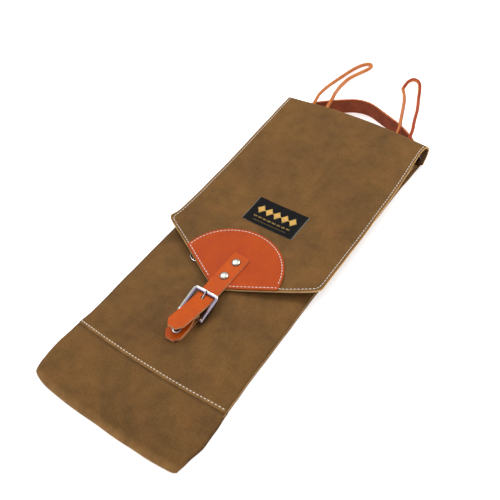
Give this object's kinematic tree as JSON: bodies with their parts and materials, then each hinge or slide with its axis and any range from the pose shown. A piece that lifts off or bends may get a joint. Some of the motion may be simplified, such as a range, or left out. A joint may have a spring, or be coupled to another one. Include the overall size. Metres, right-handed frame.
{
  "type": "tool case",
  "caption": "Flat waxed-canvas case for long slim tools, with a pointed fold-over flap, a leather patch, a buckled strap, a carry handle and leather hanging laces.",
  "frame": {"origin": "middle of the object's plan on the surface that its back lies on, measured without the laces", "axes": "+X across the case, +Y along it from the bottom end to the handle, +Z out of its front"},
  "size_m": [0.191, 0.6074, 0.029],
  "materials": {
    "canvas": "waxed, matt, softly mottled",
    "lining": "waxed, matt",
    "patch_leather": "smooth, satin",
    "strap_leather": "smooth, satin, pale cut edges",
    "handle_leather": "dark flesh side, pale cut edges",
    "lace_leather": "square-cut thong, satin",
    "label": "fine woven satin",
    "nickel": "polished nickel"
  },
  "bodies": {
    "case": {"back_panel": "canvas", "front_panel": "canvas", "boot_panel": "canvas", "left_gusset": "canvas", "right_gusset": "canvas", "mouth_hem": "canvas", "top_spine": "canvas", "spine_lining": "lining", "buckle_chape": "strap_leather", "chape_rivet": "nickel", "chape_rivet_back": "nickel", "d_ring_tab": "canvas", "handle_ends": "handle_leather", "handle_rivets": "nickel", "handle_rivet_backs": "nickel", "lace_eyelets": "nickel", "lace_left": "lace_leather", "lace_right": "lace_leather"},
    "buckle": {"buckle_frame": "nickel"},
    "prong": {"buckle_prong": "nickel"},
    "ring": {"d_ring": "nickel"},
    "handle": {"handle_grip": "handle_leather"},
    "flap": {"flap_canvas": "canvas", "flap_lining": "lining", "flap_patch": "patch_leather", "woven_label": "label", "closure_strap": "strap_leather", "strap_rivets": "nickel", "strap_rivet_backs": "nickel"}
  },
  "joints": [
    {"name": "flap_open", "type": "hinge", "parent": "case", "child": "flap", "pos_m": [0, 0.202, 0.0255], "axis": [-1, 0, 0], "range_deg": [0, 150], "deforming": ["closure_strap"]},
    {"name": "buckle_swing", "type": "hinge", "parent": "case", "child": "buckle", "pos_m": [0, -0.119, 0.016], "axis": [1, 0, 0], "range_deg": [0, 105]},
    {"name": "prong_swing", "type": "hinge", "parent": "buckle", "child": "prong", "pos_m": [0, -0.119, 0.016], "axis": [1, 0, 0], "range_deg": [0, 30]},
    {"name": "ring_swing", "type": "hinge", "parent": "case", "child": "ring", "pos_m": [-0.0425, -0.049, 0.0124], "axis": [-1, 0, 0], "range_deg": [0, 150]},
    {"name": "handle_swing", "type": "hinge", "parent": "case", "child": "handle", "pos_m": [0, 0.2068, 0.0105], "axis": [1, 0, 0], "range_deg": [-70, 0], "deforming": ["handle_ends"]}
  ],
  "couplings": [
    {"joint": "buckle_swing", "follows": "flap_open", "ratio": 0.7},
    {"joint": "prong_swing", "follows": "flap_open", "ratio": 0.2},
    {"joint": "ring_swing", "follows": "flap_open", "ratio": 1}
  ]
}
